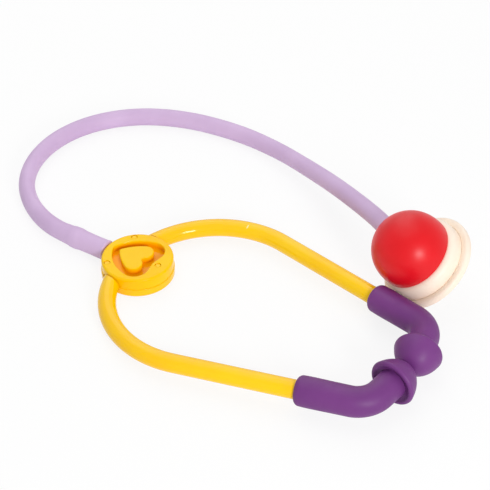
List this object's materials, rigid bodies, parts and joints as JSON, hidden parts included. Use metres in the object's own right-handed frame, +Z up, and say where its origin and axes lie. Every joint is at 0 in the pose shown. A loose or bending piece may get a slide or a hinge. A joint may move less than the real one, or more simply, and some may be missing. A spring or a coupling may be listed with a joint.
{
  "type": "toy stethoscope",
  "caption": "Toy stethoscope: heart-faced hub, swinging bent arms with soft ear tips, and a looped hose that runs to a domed chest bell.",
  "frame": {"origin": "centre of the hub's back face, on the table that the toy lies on", "axes": "+X from the hub to the ear tips, +Y to the left arm, +Z up, out of the hub's face"},
  "size_m": [0.2647, 0.1818, 0.0465],
  "materials": {
    "hub": "glossy yellow moulded plastic",
    "arms": "glossy yellow moulded plastic",
    "ears": "satin purple soft rubber",
    "hose": "matte lavender soft tube",
    "dome": "satin red moulded plastic",
    "bell": "satin cream moulded plastic"
  },
  "bodies": {
    "hub": {"hub_front_shell": "hub", "hub_back_plate": "hub", "hub_pins": "hub", "hub_spigot": "hub", "hose": "hose"},
    "left_arm": {"left_arm": "arms"},
    "right_arm": {"right_arm": "arms"},
    "left_ear": {"left_ear_sleeve": "ears", "left_ear_tip": "ears"},
    "right_ear": {"right_ear_sleeve": "ears", "right_ear_tip": "ears"},
    "bell": {"bell_dome": "dome", "bell_collar": "bell", "bell_spigot": "bell", "bell_rim": "bell", "diaphragm": "bell"}
  },
  "joints": [
    {"name": "left_arm_spread", "type": "hinge", "parent": "hub", "child": "left_arm", "pos_m": [0, 0, 0], "axis": [0, 0, 1], "range_deg": [0, 20]},
    {"name": "right_arm_spread", "type": "hinge", "parent": "hub", "child": "right_arm", "pos_m": [0, 0, 0], "axis": [0, 0, -1], "range_deg": [0, 20]},
    {"name": "left_ear_twist", "type": "hinge", "parent": "left_arm", "child": "left_ear", "pos_m": [0.11189, 0.03658, 0.00989], "axis": [-0.9735, 0.225, -0.0417], "range_deg": [0, 45]},
    {"name": "right_ear_twist", "type": "hinge", "parent": "right_arm", "child": "right_ear", "pos_m": [0.11189, -0.03658, 0.00989], "axis": [0.9735, 0.225, 0.0417], "range_deg": [0, 45]},
    {"name": "bell_swing", "type": "hinge", "parent": "hub", "child": "bell", "pos_m": [0, 0, 0], "axis": [0, 0, 1], "range_deg": [0, 20], "deforming": ["hose"]}
  ],
  "couplings": [
    {"joint": "bell_swing", "follows": "left_arm_spread", "ratio": 1}
  ]
}
